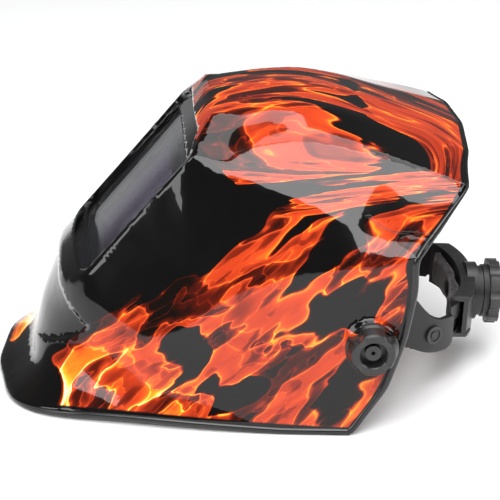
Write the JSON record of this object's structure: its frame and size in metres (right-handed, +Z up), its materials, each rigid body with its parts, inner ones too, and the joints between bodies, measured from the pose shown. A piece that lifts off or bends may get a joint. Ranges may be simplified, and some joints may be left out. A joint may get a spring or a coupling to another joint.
{
  "type": "welding helmet",
  "caption": "Full-face auto-darkening welding helmet: a creased shell with a recessed window and filter cartridge, side tension knobs and a tilting ratchet headband.",
  "frame": {"origin": "on the floor under the centre of the bounding box, the helmet standing on its lower edge", "axes": "+Z up, -Y towards the wearer's front, +X towards the wearer's left"},
  "size_m": [0.2628, 0.3346, 0.1942],
  "materials": {
    "shell_print": "gloss black moulded nylon with a flame print",
    "clear_cover": "clear polycarbonate",
    "clear_inner": "clear polycarbonate",
    "gasket_rubber": "matte black",
    "holder_plastic": "satin black",
    "screw_steel": "zinc plated",
    "case_plastic": "fine grained black",
    "filter_glass": "purple interference coated",
    "solar_cell": "dark glassy",
    "sensor_glass": "dark",
    "board_green": "solder mask",
    "pot_plastic": "moulded",
    "cell_steel": "nickel plated",
    "knob_plastic": "fluted grip",
    "button_red": "satin",
    "button_grey": "satin",
    "tension_plastic": "semi gloss black",
    "band_plastic": "satin black",
    "sweat_foam": "brushed cloth over foam",
    "strap_plastic": "satin black",
    "rivet_plastic": "satin black",
    "arm_plastic": "satin black",
    "stud_plastic": "satin black, threaded end",
    "washer_rubber": "matte",
    "ratchet_plastic": "satin black",
    "ratchet_knob_plastic": "satin black",
    "detent_plastic": "natural acetal"
  },
  "bodies": {
    "mask": {"shell": "shell_print", "front_cover_lens": "clear_cover", "lens_gasket": "gasket_rubber", "filter_holder": "holder_plastic", "holder_screws": "screw_steel", "cartridge_front": "case_plastic", "cartridge_back": "case_plastic", "filter_glass": "filter_glass", "solar_panel": "solar_cell", "arc_sensors": "sensor_glass", "circuit_board": "board_green", "potentiometers": "pot_plastic", "inner_cover_lens": "clear_inner"},
    "battery_drawer": {"battery_tray": "case_plastic", "coin_cell": "cell_steel"},
    "shade_dial": {"shade_knob": "knob_plastic"},
    "sensitivity_dial": {"sensitivity_knob": "knob_plastic"},
    "delay_dial": {"delay_knob": "knob_plastic"},
    "test_key": {"test_button": "button_red"},
    "mode_slider": {"mode_switch": "button_grey"},
    "clamp_knob_left": {"tension_knob_left": "tension_plastic"},
    "clamp_knob_right": {"tension_knob_right": "tension_plastic"},
    "headgear": {"headband": "band_plastic", "sweatband": "sweat_foam", "strap_left": "strap_plastic", "strap_right": "strap_plastic", "strap_buttons": "rivet_plastic", "pivot_arm_left": "arm_plastic", "pivot_arm_right": "arm_plastic", "band_rivets": "rivet_plastic", "pivot_studs": "stud_plastic", "friction_washers": "washer_rubber", "crown_strap_left": "band_plastic", "crown_strap_right": "band_plastic", "crown_pin": "rivet_plastic"},
    "ratchet_carriage": {"ratchet_housing": "ratchet_plastic", "ratchet_plate": "ratchet_plastic", "nape_pad": "sweat_foam", "detent_spring": "detent_plastic"},
    "ratchet_dial": {"ratchet_knob": "ratchet_knob_plastic", "ratchet_pinion": "detent_plastic", "detent_star": "detent_plastic", "ratchet_screw": "screw_steel"}
  },
  "joints": [
    {"name": "headgear_tilt", "type": "hinge", "parent": "mask", "child": "headgear", "pos_m": [0, 0.066, 0.06], "axis": [1, 0, 0], "range_deg": [-40, 45]},
    {"name": "tension_left_turn", "type": "hinge", "parent": "mask", "child": "clamp_knob_left", "pos_m": [0.124, 0.066, 0.06], "axis": [1, 0, 0], "range_deg": [-180, 180]},
    {"name": "tension_right_turn", "type": "hinge", "parent": "mask", "child": "clamp_knob_right", "pos_m": [-0.124, 0.066, 0.06], "axis": [-1, 0, 0], "range_deg": [-180, 180]},
    {"name": "ratchet_slide", "type": "slide", "parent": "headgear", "child": "ratchet_carriage", "axis": [0, 0.9986, -0.0523], "range_m": [-0.0092, 0.0092], "deforming": ["strap_left", "strap_right"]},
    {"name": "ratchet_turn", "type": "hinge", "parent": "ratchet_carriage", "child": "ratchet_dial", "pos_m": [0, 0.16024, 0.04304], "axis": [0, 0.9986, -0.0523], "range_deg": [-95, 95]},
    {"name": "shade_turn", "type": "hinge", "parent": "mask", "child": "shade_dial", "pos_m": [-0.038, -0.02034, 0.13195], "axis": [0, 0.7547, -0.6561], "range_deg": [-135, 135]},
    {"name": "sensitivity_turn", "type": "hinge", "parent": "mask", "child": "sensitivity_dial", "pos_m": [-0.018, -0.02034, 0.13195], "axis": [0, 0.7547, -0.6561], "range_deg": [-135, 135]},
    {"name": "delay_turn", "type": "hinge", "parent": "mask", "child": "delay_dial", "pos_m": [-0.002, -0.02034, 0.13195], "axis": [0, 0.7547, -0.6561], "range_deg": [-135, 135]},
    {"name": "test_press", "type": "slide", "parent": "mask", "child": "test_key", "axis": [0, -0.7547, 0.6561], "range_m": [0, 0.0016], "stiffness_N_per_m": 300, "springref_m": -0.0004},
    {"name": "mode_slide", "type": "slide", "parent": "mask", "child": "mode_slider", "axis": [1, 0, 0], "range_m": [0, 0.0055]},
    {"name": "battery_slide", "type": "slide", "parent": "mask", "child": "battery_drawer", "axis": [1, 0, 0], "range_m": [0, 0.009]}
  ],
  "couplings": [
    {"joint": "ratchet_turn", "follows": "ratchet_slide", "rad_per_m": 166.67}
  ]
}
